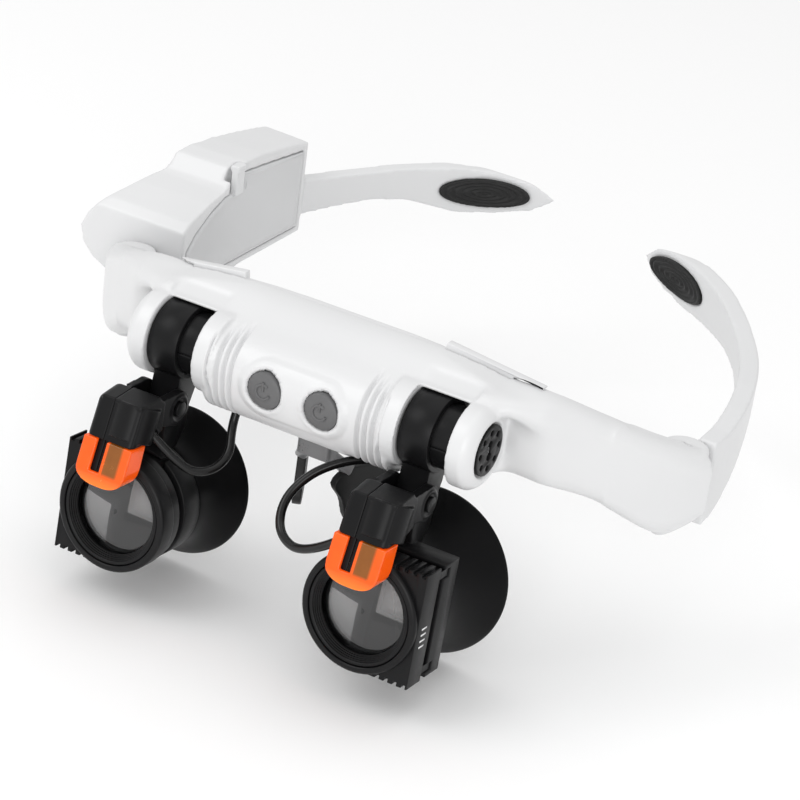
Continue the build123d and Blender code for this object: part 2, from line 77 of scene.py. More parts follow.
def loupeFrame(side):  # millimetres: x across, y back along the sight line, z up, from the shaft
    shaft, lens = middle("axle_" + side), middle("lens_" + side)
    turn = Matrix.Rotation(radians(-6.0), 4, "X")
    return Matrix.Translation((lens.x, shaft.y, shaft.z)) @ turn @ Matrix.Scale(mm, 4)


# shader maths
class Flow:
    def __init__(self, tree, socket):
        self.tree = tree
        self.socket = socket

    def maths(self, operation, other=0.0, swap=False):
        node = self.tree.nodes.new("ShaderNodeMath")
        node.operation = operation
        pair = (other, self) if swap else (self, other)
        for slot, value in zip(node.inputs, pair):
            if isinstance(value, Flow):
                self.tree.links.new(value.socket, slot)
            else:
                slot.default_value = value
        return Flow(self.tree, node.outputs[0])

    def __add__(self, other):
        return self.maths("ADD", other)

    def __radd__(self, other):
        return self.maths("ADD", other)

    def __sub__(self, other):
        return self.maths("SUBTRACT", other)

    def __rsub__(self, other):
        return self.maths("SUBTRACT", other, swap=True)

    def __mul__(self, other):
        return self.maths("MULTIPLY", other)

    def __truediv__(self, other):
        return self.maths("DIVIDE", other)


class Finish:
    def __init__(self, name, fixed):
        self.material = bpy.data.materials.new(name)
        self.material.use_nodes = True
        self.tree = self.material.node_tree
        self.shader = self.tree.nodes["Principled BSDF"]
        for key, value in fixed.items():
            self.shader.inputs[key].default_value = value

    def node(self, kind, settings, inputs, output=0):
        made = self.tree.nodes.new(kind)
        for key, value in settings.items():
            setattr(made, key, value)
        for key, value in inputs.items():
            if isinstance(value, Flow):
                self.tree.links.new(value.socket, made.inputs[key])
            else:
                made.inputs[key].default_value = value
        return Flow(self.tree, made.outputs[output])

    def noise(self, size, detail=2.0):
        place = self.node("ShaderNodeTexCoord", {}, {}, "Object")
        return self.node("ShaderNodeTexNoise", {}, {"Vector": place, "Scale": size, "Detail": detail}, "Fac")

    def blend(self, factor, first, second):
        made = self.tree.nodes.new("ShaderNodeMix")
        made.data_type = "RGBA"
        for slot, value in ((0, factor), (6, first), (7, second)):
            if isinstance(value, Flow):
                self.tree.links.new(value.socket, made.inputs[slot])
            elif slot:
                made.inputs[slot].default_value = (*value, 1.0)
            else:
                made.inputs[slot].default_value = value
        return Flow(self.tree, made.outputs[2])

    def feed(self, name, flow):
        self.tree.links.new(flow.socket, self.shader.inputs[name])

    def bump(self, height, strength, distance):
        made = self.node("ShaderNodeBump", {}, {
            "Height": height, "Strength": strength, "Distance": distance})
        self.feed("Normal", made)


def moulded(name, look):
    made = Finish(name, look["fixed"])
    broad = made.noise(look["patch"], 3.0)
    fine = made.noise(look["grain"], 2.0)
    made.feed("Base Color", made.blend(broad, look["dark"], look["light"]))
    made.feed("Roughness", look["rough"] + (broad - 0.5) * look["uneven"] + (fine - 0.5) * look["uneven"])
    made.bump(fine, look["relief"], look["depth"])
    return made.material


finishes = {
    "white": moulded("whiteShell", {
        "dark": (0.665, 0.668, 0.674), "light": (0.715, 0.717, 0.721), "patch": 35.0, "grain": 2600.0,
        "rough": 0.34, "uneven": 0.10, "relief": 0.10, "depth": 0.00004,
        "fixed": {"Specular IOR Level": 0.5, "Coat Weight": 0.15, "Coat Roughness": 0.25}}),
    # the door takes a darker copy of the shell's white: painted shade for the door face, which turns away from
    # the key light
    "door": moulded("whiteDoorShaded", {
        "dark": (0.60, 0.604, 0.61), "light": (0.65, 0.653, 0.658), "patch": 40.0, "grain": 3200.0,
        "rough": 0.42, "uneven": 0.10, "relief": 0.16, "depth": 0.00004, "fixed": {}}),
    "black": moulded("blackPlastic", {
        "dark": (0.0045, 0.0045, 0.005), "light": (0.009, 0.009, 0.0095), "patch": 90.0, "grain": 3800.0,
        "rough": 0.36, "uneven": 0.16, "relief": 0.20, "depth": 0.00004, "fixed": {"Specular IOR Level": 0.17}}),
    "matt": moulded("blackCup", {
        "dark": (0.002, 0.002, 0.0022), "light": (0.0045, 0.0045, 0.005), "patch": 60.0, "grain": 3000.0,
        "rough": 0.40, "uneven": 0.12, "relief": 0.16, "depth": 0.00004, "fixed": {"Specular IOR Level": 0.10}}),
    "ring": moulded("blackRing", {
        "dark": (0.005, 0.005, 0.0055), "light": (0.011, 0.011, 0.0115), "patch": 120.0, "grain": 4200.0,
        "rough": 0.32, "uneven": 0.14, "relief": 0.18, "depth": 0.00004, "fixed": {"Specular IOR Level": 0.19}}),
    "jacket": moulded("leadJacket", {
        "dark": (0.003, 0.003, 0.003), "light": (0.006, 0.006, 0.006), "patch": 150.0, "grain": 1800.0,
        "rough": 0.20, "uneven": 0.08, "relief": 0.10, "depth": 0.00003, "fixed": {"Specular IOR Level": 0.35}}),
    "grey": moulded("greyButton", {
        "dark": (0.10, 0.10, 0.102), "light": (0.135, 0.135, 0.137), "patch": 200.0, "grain": 3600.0,
        "rough": 0.46, "uneven": 0.12, "relief": 0.25, "depth": 0.00005, "fixed": {}}),
    "rubber": moulded("blackRubber", {
        "dark": (0.006, 0.006, 0.006), "light": (0.013, 0.013, 0.013), "patch": 220.0, "grain": 2600.0,
        "rough": 0.50, "uneven": 0.16, "relief": 0.35, "depth": 0.00006, "fixed": {"Specular IOR Level": 0.35}}),
    "steel": moulded("brightSteel", {
        "dark": (0.55, 0.55, 0.56), "light": (0.70, 0.70, 0.71), "patch": 400.0, "grain": 2400.0,
        "rough": 0.28, "uneven": 0.14, "relief": 0.15, "depth": 0.00003, "fixed": {"Metallic": 1.0}}),
    "smoke": moulded("smokeClear", {
        "dark": (0.20, 0.20, 0.205), "light": (0.30, 0.30, 0.305), "patch": 160.0, "grain": 2200.0,
        "rough": 0.30, "uneven": 0.10, "relief": 0.10, "depth": 0.00003, "fixed": {"Transmission Weight": 0.25}}),
    "board": moulded("boardGreen", {
        "dark": (0.02, 0.12, 0.05), "light": (0.04, 0.18, 0.08), "patch": 300.0, "grain": 2400.0,
        "rough": 0.4, "uneven": 0.1, "relief": 0.1, "depth": 0.00003, "fixed": {}}),
    "cell": moulded("cellSleeve", {
        "dark": (0.05, 0.10, 0.22), "light": (0.07, 0.13, 0.28), "patch": 200.0, "grain": 2400.0,
        "rough": 0.25, "uneven": 0.1, "relief": 0.1, "depth": 0.00003, "fixed": {}}),
    "led": moulded("ledLens", {
        "dark": (0.85, 0.80, 0.55), "light": (0.95, 0.92, 0.75), "patch": 500.0, "grain": 2400.0,
        "rough": 0.2, "uneven": 0.05, "relief": 0.05, "depth": 0.00002, "fixed": {}}),
    "mark": moulded("whiteMark", {
        "dark": (0.78, 0.78, 0.78), "light": (0.85, 0.85, 0.85), "patch": 500.0, "grain": 3000.0,
        "rough": 0.5, "uneven": 0.1, "relief": 0.2, "depth": 0.00002, "fixed": {}}),
}


def ramp(value):
    return value.maths("MAXIMUM", 0.0).maths("MINIMUM", 1.0)


def loupeAxes(made, side):  # across, back and up in the loupe's own millimetres
    home = loupeFrame(side)
    place = made.node("ShaderNodeTexCoord", {}, {}, "Object")
    turned = made.node("ShaderNodeMapping", {"vector_type": "TEXTURE"}, {
        "Vector": place, "Location": home.translation, "Rotation": home.to_euler(), "Scale": (mm, mm, mm)})
    split = made.node("ShaderNodeSeparateXYZ", {}, {"Vector": turned})
    return [Flow(made.tree, split.socket.node.outputs[i]) for i in range(3)]


sightDrop = 38.6
glass = {
    "fixed": {"Transmission Weight": 0.86, "IOR": 1.7, "Specular IOR Level": 0.3},
    # the third colour is painted shade for the dark band and rim; the next two are painted reflection
    "dark": (0.060, 0.061, 0.063), "light": (0.085, 0.086, 0.088), "band": (0.008, 0.008, 0.009),
    "paintedReflectionLow": (0.50, 0.505, 0.51), "paintedReflectionHigh": (0.85, 0.855, 0.86),
}
amber = {
    # the emission strength below gives the cap a faint painted glow
    "fixed": {"Transmission Weight": 0.25, "IOR": 1.49, "Coat Weight": 0.25, "Coat Roughness": 0.06,
              "Specular IOR Level": 0.3, "Emission Strength": 0.18},
    "dark": (0.90, 0.098, 0.003), "light": (0.96, 0.135, 0.005), "edge": (1.0, 0.27, 0.02),
    "paneDark": (0.22, 0.070, 0.008), "paneLight": (0.29, 0.098, 0.012),
}


def makeGlass(side):
    made = Finish("lensGlass_" + side, glass["fixed"])
    x, b, u = loupeAxes(made, side)
    z = u + sightDrop
    spread = (x * x + z * z).maths("SQRT")
    # painted light in the thick glass: two pale patches of painted reflection (low and high), painted shade in a
    # dark band between them and in a dark rim on the far side
    low = ramp((-1.0 + z * 0.06 - x) / 0.25) * ramp((1.4 - x * 0.14 - z) / 0.25)
    low = low * ramp((9.0 - spread) / 0.4)
    high = ramp((x - 3.3) / 0.25) * ramp((z - 1.3 + x * 0.10) / 0.25)
    high = high * ramp((10.0 - spread) / 0.3)
    band = ramp((x - 2.2) / 0.8) * ramp((z + 1.2) / 0.3) * ramp((1.3 - x * 0.10 - z) / 0.3)
    # rim: painted shade along the far side of the glass
    rim = ramp((spread - 8.8) / 0.5) * ramp((-2.0 - x) / 1.5)
    dust = made.noise(700.0, 3.0)
    body = made.blend(dust, glass["dark"], glass["light"])
    body = made.blend((band + rim).maths("MINIMUM", 1.0) * 0.85, body, glass["band"])
    # painted reflection, paler towards the top
    paintedReflection = made.blend(ramp((z + 8.0) / 10.0), glass["paintedReflectionLow"], glass["paintedReflectionHigh"])
    made.feed("Base Color", made.blend((low + high).maths("MINIMUM", 1.0), body, paintedReflection))
    made.feed("Roughness", 0.02 + dust * 0.03)
    return made.material


def makeAmber(side):
    made = Finish("amberCap_" + side, amber["fixed"])
    x, b, u = loupeAxes(made, side)
    # the thin window beside the slot shows the dark lamp through it
    window = ramp((x - 0.45) / 0.25) * ramp((4.7 - x) / 0.8)
    window = window * ramp((u + 26.9) / 0.8) * ramp((-23.0 - b) / 0.4)
    lowEdge = ramp((-26.9 - u) / 2.6)
    cloud = made.noise(420.0, 3.0)
    body = made.blend(cloud, amber["dark"], amber["light"])
    pane = made.blend(cloud, amber["paneDark"], amber["paneLight"])
    colour = made.blend(lowEdge * 0.7, made.blend(window, body, pane), amber["edge"])
    made.feed("Base Color", colour)
    # the same colour feeds the emission: a painted glow, though the lamp behind is not lit
    made.feed("Emission Color", colour)
    made.feed("Roughness", 0.20 + cloud * 0.10)
    made.bump(cloud, 0.08, 0.00005)
    return made.material


print("finishes made")


# mesh helpers
def meshObject(name, bm):
    mesh = bpy.data.meshes.new(name)
    bm.to_mesh(mesh)
    bm.free()
    made = bpy.data.objects.new(name, mesh)
    scene.collection.objects.link(made)
    return made


def settle(made):  # put the modifiers into the mesh
    graph = bpy.context.evaluated_depsgraph_get()
    mesh = bpy.data.meshes.new_from_object(made.evaluated_get(graph))
    made.modifiers.clear()
    made.data = mesh
    return made


def fuse(made, voxel, rounds):  # one skin round all that overlaps, with soft edges
    skin = made.modifiers.new("skin", "REMESH")
    skin.mode = "VOXEL"
    skin.voxel_size = voxel
    ease = made.modifiers.new("ease", "SMOOTH")
    ease.factor = 0.5
    ease.iterations = rounds
    return settle(made)


def cut(made, tool, operation="DIFFERENCE"):
    other = meshObject("tool", tool)
    work = made.modifiers.new("cut", "BOOLEAN")
    work.object = other
    work.operation = operation
    work.solver = "EXACT"
    settle(made)
    bpy.data.objects.remove(other)
    return made


def copyOf(*nodes):
    bm = bmesh.new()
    for node in nodes:
        bm.from_mesh(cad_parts[node].data)
    bmesh.ops.remove_doubles(bm, verts=bm.verts, dist=0.000001)
    return bm


def roundEdges(bm, width, segments=2, angle=32, choose=None):
    sharp = [e for e in bm.edges if len(e.link_faces) == 2 and e.calc_face_angle(0.0) > radians(angle)]
    picked = [e for e in sharp if choose is None or choose(e)]
    bmesh.ops.bevel(bm, geom=picked, offset=width, offset_type="OFFSET", segments=segments, profile=0.5,
                    affect="EDGES", material=-1, clamp_overlap=False)


def drawn(bm, corners, move):
    face = bm.faces.new([bm.verts.new(c) for c in corners])
    made = bmesh.ops.extrude_face_region(bm, geom=[face])
    far = [g for g in made["geom"] if isinstance(g, bmesh.types.BMVert)]
    bmesh.ops.translate(bm, verts=far, vec=move)
    bmesh.ops.recalc_face_normals(bm, faces=bm.faces)
    return bm


def prism(bm, outline, x0, x1):  # outline in the y and z of the work, drawn out along x
    return drawn(bm, [(x0, y, z) for y, z in outline], (x1 - x0, 0, 0))


def slab(bm, outline, y0, y1):  # outline in x and z, drawn out along y
    return drawn(bm, [(x, y0, z) for x, z in outline], (0, y1 - y0, 0))


def loft(bm, rings):  # rings of equal count joined one to the next, ends closed
    rows = [[bm.verts.new(c) for c in ring] for ring in rings]
    for row, following in zip(rows, rows[1:]):
        for k in range(len(row)):
            m = (k + 1) % len(row)
            bm.faces.new((row[k], row[m], following[m], following[k]))
    bm.faces.new(rows[0])
    bm.faces.new(rows[-1])
    bmesh.ops.recalc_face_normals(bm, faces=bm.faces)
    return bm


def addTo(bm, extra, matrix):
    extra.transform(matrix)
    spare = bpy.data.meshes.new("spare")
    extra.to_mesh(spare)
    extra.free()
    bm.from_mesh(spare)


def squareRound(a, b):  # pulls the corner of a square in to a circle
    length = sqrt(a * a + b * b)
    return max(a, b) / length if length > 0.01 and a > 0 and b > 0 else 1.0


def lathe(bm, profile, steps=96, closed=True):  # profile in radius and y, turned about y
    ring = [bm.verts.new((r, y, 0)) for r, y in profile]
    lines = [bm.edges.new(pair) for pair in zip(ring, ring[1:])]
    if closed:
        lines.append(bm.edges.new((ring[-1], ring[0])))
    bmesh.ops.spin(bm, geom=ring + lines, cent=(0, 0, 0), axis=(0, 1, 0), angle=2 * pi, steps=steps,
                   use_merge=True)
    bmesh.ops.remove_doubles(bm, verts=bm.verts, dist=0.0005)
    bmesh.ops.recalc_face_normals(bm, faces=bm.faces)
    return bm


def rod(bm, radius, length, matrix, around=32):  # a rod along the matrix's own z
    bmesh.ops.create_cone(bm, cap_ends=True, segments=around, radius1=radius, radius2=radius, depth=length,
                          matrix=matrix)


def block(bm, size, matrix):
    bmesh.ops.create_cube(bm, size=1.0, matrix=matrix @ Matrix.Diagonal((*size, 1.0)))


def at(x, y, z):
    return Matrix.Translation((x, y, z))


def place(made, body, finish, slotName, nodes=(), sharp=34):
    mesh = made.data
    mesh.polygons.foreach_set("use_smooth", [True] * len(mesh.polygons))
    if sharp:
        mesh.set_sharp_from_angle(angle=radians(sharp))
    mesh.materials.append(finish)
    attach(made, body)
    if nodes:
        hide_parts(*nodes)
    return made


def fade(value, low, high):  # 0 below low, 1 above high, smooth between
    t = min(1.0, max(0.0, (value - low) / (high - low)))
    return t * t * (3 - 2 * t)


def dress(node, finish):  # a node that stays as it is, under a better finish
    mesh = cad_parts[node].data
    mesh.materials.clear()
    mesh.materials.append(finish)


def flattened(node):  # a copy without the flat faces' inner edges
    bm = copyOf(node)
    bmesh.ops.dissolve_limit(bm, angle_limit=radians(1.2), verts=bm.verts, edges=bm.edges)
    return bm


def eased(name, node, body, finish, slotName, width):  # a copy with its edges rounded
    bm = flattened(node)
    roundEdges(bm, width)
    return place(meshObject(name, bm), body, finish, slotName, [node])


# front shell
shell = {
    "voxel": 0.00042, "rounds": 5,
    "grooves": (16.8, 18.65, 20.5, 22.35), "grooveHalf": 0.74, "grooveDepth": 1.25,
    "buttonX": 7.4, "buttonZ": 19.3, "padRadius": 7.3, "padRise": 0.45, "lipRadius": 5.25, "lipRise": 0.28,
    "bossRadius": 10.0, "bossEnd": 45.3, "bossRound": 3.0,
    # each run: x, y, direction in plan, thickness, top, bottom
    "shoulder": ((41.0, -2.6, 0, 6.0, 31.6, 12.0), (47.0, -2.4, 6, 8.8, 31.3, 10.6),
                 (53.0, -1.0, 24, 9.4, 30.6, 9.4), (59.5, 5.3, 41, 9.4, 27.9, 6.8),
                 (65.5, 11.4, 46, 9.0, 24.6, 3.4)),
    "brow": ((40.0, -7.4, 0, 12.8, 31.9, 26.4), (46.4, -6.4, 6, 11.4, 31.3, 26.9),
             (52.5, -2.2, 24, 9.6, 30.5, 22.0), (60.0, 5.6, 41, 8.6, 27.4, 15.0)),
    "ramp": ((-13.8, 29.35), (-8.0, 31.7), (-7.5, 30.4), (-11.5, 29.75), (-13.8, 28.95)),
    "blendFrom": 42.5, "blendTo": 66.0, "blendRounds": 100, "jointRounds": 16, "recessRounds": 9, "ease": 0.5,
    "windowX": 33.0, "windowHalf": 7.0, "wallBack": 0.2, "underRise": 5.5,
}


def shellRings(runs, s):  # squarish sections along each run
    around, squareness = 28, 0.62
    rings = []
    for x, y, angle, thick, top, bottom in runs:
        a = radians(angle)
        ring = []
        for k in range(around):
            c, d = cos(2 * pi * k / around), sin(2 * pi * k / around)
            across = thick / 2 * abs(c) ** squareness * (1 if c > 0 else -1)
            height = (top - bottom) / 2 * abs(d) ** squareness * (1 if d > 0 else -1)
            ring.append((s * (x - sin(a) * across), y + cos(a) * across, (top + bottom) / 2 + height))
        rings.append(ring)
    return rings


def shapeShell(made):
    bm = bmesh.new()
    bm.from_mesh(made.data)
    near = [f for f in bm.faces if 0.0152 < abs(f.calc_center_median().x) < 0.0240
            and f.calc_center_median().y < -0.005 and f.normal.y < 0.6]
    edges = list({e for f in near for e in f.edges})
    bmesh.ops.subdivide_edges(bm, edges=edges, cuts=1, use_grid_fill=True)
    bm.normal_update()
    shaft = middle("axle_r") / mm
    moves = []
    for v in bm.verts:
        x, y, z = v.co / mm
        out = v.normal
        away = Vector((0, y + 10.0, z - 20.0)).normalized()
        outer = fade(out.dot(away), 0.1, 0.4)
        move = 0.0
        for i, groove in enumerate(shell["grooves"]):
            off = abs(abs(x) - groove) / shell["grooveHalf"]
            if off < 1 and y < -4 and outer > 0:
                top = 1 - fade(z, 27.2 - 0.5 * i, 30.2 - 0.5 * i)
                under = 1 - fade(y, -17.5, -12.0) if z < 14 else 1.0
                move -= shell["grooveDepth"] * cos(off * pi / 2) ** 2 * top * under * outer
        if y < -14 and outer > 0:
            along = max(0.0, abs(x) - shell["buttonX"])
            apart = sqrt(along ** 2 + (z - shell["buttonZ"]) ** 2)
            move += shell["padRise"] * (1 - fade(apart, 5.9, shell["padRadius"])) * outer
            ring = sqrt((abs(x) - shell["buttonX"]) ** 2 + (z - shell["buttonZ"]) ** 2)
            move += shell["lipRise"] * exp(-((ring - shell["lipRadius"]) / 0.42) ** 2) * outer
        step = out * move
        spread = sqrt((y - shaft.y) ** 2 + (z - shaft.z) ** 2)
        edge = shell["bossEnd"] - shell["bossRound"]
        if abs(x) > edge and 6.7 < spread < 10.4 and (y < shaft.y + 2 or z < shaft.z - 4):
            inner = shell["bossRadius"] - shell["bossRound"]
            a, b = abs(x) - edge, max(0.0, spread - inner)
            length = sqrt(a * a + b * b)
            if length > 0.01:
                scale = max(a, b) / length
                step = step + Vector((
                    (1 if x > 0 else -1) * a * (scale - 1),
                    (y - shaft.y) / spread * b * (scale - 1), (z - shaft.z) / spread * b * (scale - 1)))
        moves.append((v, step * mm))
    for v, step in moves:
        v.co += step
    ends, recess, joint = [], [], []
    for v in bm.verts:
        x, y, z = abs(v.co.x / mm), v.co.y / mm, v.co.z / mm
        spread = sqrt((y - shaft.y) ** 2 + (z - shaft.z) ** 2)
        if shell["blendFrom"] < x < shell["blendTo"] and (spread > 10.6 or x > shell["bossEnd"] + 0.5):
            ends.append(v)
        if 24.5 < x < 41.5 and -13.2 < y < -5.0 and z > 28.4:
            recess.append(v)
        if 43.2 < x < 53.0 and spread > 7.9:
            joint.append(v)
        if 25.9 < x < 27.2 and spread < 9.7 and v.normal.x * v.co.x > 0:  # room for the sliding collar
            v.co.x *= 1 - shell["wallBack"] / x
        if x > 73 and z < 8:  # the underside rises towards the hinge
            v.co.z += shell["underRise"] * mm * fade(x, 73.5, 84) * (8 - z) / 13
    for verts, rounds in ((ends, shell["blendRounds"]), (joint, shell["jointRounds"]),
                          (recess, shell["recessRounds"])):
        for k in range(rounds):
            bmesh.ops.smooth_vert(bm, verts=verts, factor=shell["ease"], use_axis_x=True, use_axis_y=True,
                                  use_axis_z=True)
    bm.to_mesh(made.data)
    bm.free()
    return made


bm = copyOf("front_shell")
for s in sides.values():
    for run in ("shoulder", "brow"):
        addTo(bm, loft(bmesh.new(), shellRings(shell[run], s)), Matrix.Scale(mm, 4))
    windowX, half = s * shell["windowX"], shell["windowHalf"]
    addTo(bm, prism(bmesh.new(), shell["ramp"], windowX - half, windowX + half), Matrix.Scale(mm, 4))
made = fuse(meshObject("frontShell", bm), shell["voxel"], shell["rounds"])
place(shapeShell(made), "bar", finishes["white"], "white_shell", ["front_shell"], sharp=0)
print("front shell:", len(made.data.polygons), "faces")

# rear cover, screws, board and the other parts behind the shell
eased("rearCover", "rear_cover", "bar", finishes["white"], "white_shell", 0.00025)
eased("coverScrews", "cover_screws", "bar", finishes["steel"], "steel", 0.0002)
eased("hingePins", "hinge_pins", "bar", finishes["steel"], "steel", 0.0003)
for node, finish in (("circuit_board", "board"), ("switches", "black"), ("axle_l", "steel"),
                     ("axle_r", "steel"), ("batteries", "cell"), ("contacts", "steel")):
    dress(node, finishes[finish])

# buttons with their raised sign
button = {"radius": 4.35, "proud": 0.35, "crown": 0.45, "ringRadius": 1.75, "line": 0.34, "egg": 0.03}
for side, s in sides.items():
    home = middle("button_" + side) / mm
    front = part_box("button_" + side)[0].y / mm
    bm = bmesh.new()
    lathe(bm, [(0, 6.6), (4.0, 6.6), (button["radius"], 6.2), (button["radius"], 0.55), (4.15, 0.15),
               (3.6, -0.12), (2.4, -button["crown"] + 0.12), (1.2, -button["crown"] + 0.03),
               (0, -button["crown"])], 64, closed=False)
    for v in bm.verts:  # the outline is a little egg shaped, fuller below on the outer side
        angle = atan2(v.co.z, v.co.x)
        v.co.x *= 1 + button["egg"] * cos(2 * (angle + 0.7))
        v.co.z *= 1 + button["egg"] * cos(2 * (angle + 0.7))
    ring = [bm.verts.new((button["ringRadius"] + button["line"] * cos(a), button["line"] * sin(a) - 0.42, 0))
            for a in (k * pi / 4 for k in range(8))]
    loop = [bm.edges.new((ring[k], ring[(k + 1) % 8])) for k in range(8)]
    loop.append(bm.faces.new(ring))
    bmesh.ops.rotate(bm, verts=ring, cent=(0, 0, 0), matrix=Matrix.Rotation(radians(-55), 3, "Y"))
    bmesh.ops.spin(bm, geom=ring + loop, cent=(0, 0, 0), axis=(0, 1, 0), angle=radians(-290), steps=36)
    rod(bm, button["line"], 2.2, at(0, -0.45, 1.3), 12)
    bmesh.ops.recalc_face_normals(bm, faces=bm.faces)
    bm.transform(at(home.x * mm, (front - button["proud"]) * mm, home.z * mm) @ Matrix.Scale(mm, 4))
    place(meshObject("button_" + side + "_face", bm), "power_button_" + side, finishes["grey"], "grey_button",
          ["button_" + side])
print("buttons done")

# loupes: each profile is in radius and distance back along the sight line
cup = {"profile": ((11.6, -3.78), (13.1, -3.78), (13.45, -2.6), (13.55, -0.4), (13.9, 1.6), (14.6, 3.6),
                   (15.6, 5.6), (16.9, 7.6), (18.3, 9.5), (18.75, 10.25), (18.72, 10.75), (18.35, 10.95),
                   (17.9, 10.75), (17.3, 9.9), (16.0, 8.2), (14.6, 6.4), (13.5, 4.6), (12.7, 2.4),
                   (12.1, 0.2), (11.7, -2.0)),
       "rim": {"l": -0.01, "r": 0.085}, "depth": {"l": -0.3, "r": 3.0}}
ringTube = {"profile": ((10.25, -12.4), (13.2, -12.4), (13.2, -15.4), (14.25, -15.4), (14.3, -15.8),
                        (14.3, -19.5), (14.2, -19.9), (13.9, -20.2), (13.5, -20.3), (12.85, -20.3),
                        (12.68, -20.15), (12.62, -19.0), (11.25, -19.0), (11.25, -14.7), (10.25, -14.7))}
clampRing = {"profile": ((11.2, -17.9), (11.2, -19.02), (12.45, -19.02), (12.5, -19.2), (12.5, -19.75),
                         (12.3, -19.95), (11.75, -20.0), (11.6, -19.9), (11.5, -19.55), (11.3, -19.5),
                         (11.2, -19.15), (11.0, -19.1), (10.9, -18.75), (10.7, -18.7), (10.6, -18.35),
                         (10.4, -18.3), (10.35, -17.9))}
plate = {"half": 13.9, "outer": 14.4, "front": -18.9, "back": -12.4, "notches": 4, "pitch": 2.2, "gap": 0.95,
         "deep": 0.9, "firstNotch": 13.4, "boreRadius": 12.9, "boreLength": 12, "boreMiddle": -15.6,
         "rail": (19.8, 4.4, 1.9), "railAcross": 4.1, "railBack": -10.2, "railUp": 11.6}


def plateOutline(s):
    points = [(cos(a) * plate["half"] * -s, sin(a) * plate["half"]) for a in
              [radians(-90 + 180 * k / 28) for k in range(29)]]
    edge = []  # stair-step grips, from the middle out to the corner
    for k in reversed(range(plate["notches"])):
        x = plate["firstNotch"] - plate["pitch"] * k
        near, far = x - plate["gap"] / 2, x + plate["gap"] / 2
        edge += [(near, 0), (near, plate["deep"]), (far, plate["deep"]), (far, 0)]
    top = [(s * x, plate["half"] - d) for x, d in edge] + [(s * plate["outer"], plate["half"])]
    low = [(x, -z) for x, z in reversed(top)]
    return points + top + low


mark = {"size": (0.06, 2.3, 0.42), "count": 4, "pitch": 1.5, "back": -15.65, "up": -40.5}


def makeMark(side, s):  # a few plain index ticks on the plate's outer edge
    bm = bmesh.new()
    for k in range(mark["count"]):
        up = mark["up"] + (k - (mark["count"] - 1) / 2) * mark["pitch"]
        block(bm, mark["size"], at(s * (plate["outer"] + 0.02), mark["back"], up))
    bm.transform(loupeFrame(side))
    return meshObject("indexMark_" + side, bm)


collar = {"half": 3.82, "reach": 9.2}
endCap = {"sunk": 0.75, "scale": 0.94, "screwRadius": 0.75, "screwDepth": 0.8, "screwX": 44.6}
lamp = {"half": 6.25, "frontTop": -22.6, "frontLow": -25.4, "top": -9.9, "low": -19.3, "ridge": 5.2,
        "ridgeX": 2.3, "ridgeLength": 8.3, "proud": 0.7, "corner": 1.7, "topX": 1.9, "topCorner": 1.7,
        "ear": (-6.4, -14.2), "lip": ((-23.0, -9.75), (-15.7, -8.75), (-15.6, -9.6), (-23.1, -10.5)),
        "lipFrom": -1.45, "lipTo": 6.1, "disc": ((2.7, 5.5), (2.7, 6.0), (3.3, 6.0), (3.45, 5.5))}
cap = {"half": 6.45, "top": -19.45, "shoulder": -25.2, "low": -29.7, "wall": 1.1, "slot": (-2.9, -0.2),
       "side": ((-19.9, -19.45), (-25.7, -19.45), (-27.9, -27.2), (-28.0, -29.9), (-22.6, -29.9),
                (-20.8, -25.0)),
       "slotSide": ((-23.6, -17.0), (-30.0, -17.0), (-30.0, -26.6), (-26.0, -26.6)),
       "front": -32.0, "back": -14.0, "across": 9.0}


def lampFront(u):
    fall = (lamp["top"] - u) / (lamp["top"] - lamp["low"])
    return lamp["frontTop"] + (lamp["frontLow"] - lamp["frontTop"]) * fall


def softLamp(made, home, half):  # rounds the upright front corners, and the inner half's top corner
    away = home.inverted()
    for v in made.data.vertices:
        x, b, u = away @ v.co
        if u > lamp["low"] - 0.3 and b < -12.0:
            a, c = abs(x) - (lamp["half"] - lamp["corner"]), lampFront(u) + lamp["corner"] - b
            scale = squareRound(a, c)
            if scale < 1:
                x += (scale - 1) * a * (1 if x > 0 else -1)
                b -= (scale - 1) * c
            a, c = abs(x) - (lamp["half"] - lamp["topX"]), u - (lamp["top"] - lamp["topCorner"])
            scale = squareRound(a, c)
            if scale < 1 and half == "inner":
                x += (scale - 1) * a * (1 if x > 0 else -1)
                u += (scale - 1) * c
            v.co = home @ Vector((x, b, u))


def capOutline(inset):
    half, low = cap["half"] - inset, cap["low"] + inset
    points = [(-half, cap["top"] + inset * 2)]
    for k in range(21):
        c, d = cos(pi * k / 20), sin(pi * k / 20)
        points.append((-half * abs(c) ** 0.8 * (1 if c > 0 else -1),
                       cap["shoulder"] - (cap["shoulder"] - low) * d ** 0.8))
    return points + [(half, cap["top"] + inset * 2)]


def makeCap(name, home):
    wall, front, back, across = cap["wall"], cap["front"], cap["back"], cap["across"]
    body = slab(bmesh.new(), capOutline(0.0), front, back)
    made = cut(meshObject(name, body), prism(bmesh.new(), cap["side"], -across, across), "INTERSECT")
    hollow = slab(bmesh.new(), capOutline(wall), front, back)
    inner = [(-19.9 - wall, -16.0), (-25.7 + wall, -16.0), (-25.7 + wall, -19.45), (-27.9 + wall, -27.2),
             (-27.9 + wall, -31.0), (-22.6 - wall, -31.0), (-20.8 - wall, -25.0)]
    core = cut(meshObject("core", hollow), prism(bmesh.new(), inner, -across, across), "INTERSECT")
    bm = bmesh.new()
    bm.from_mesh(core.data)
    bpy.data.objects.remove(core)
    cut(made, bm)
    left, right = cap["slot"]
    cut(made, prism(bmesh.new(), cap["slotSide"], left, right))
    made.data.transform(home)
    return made


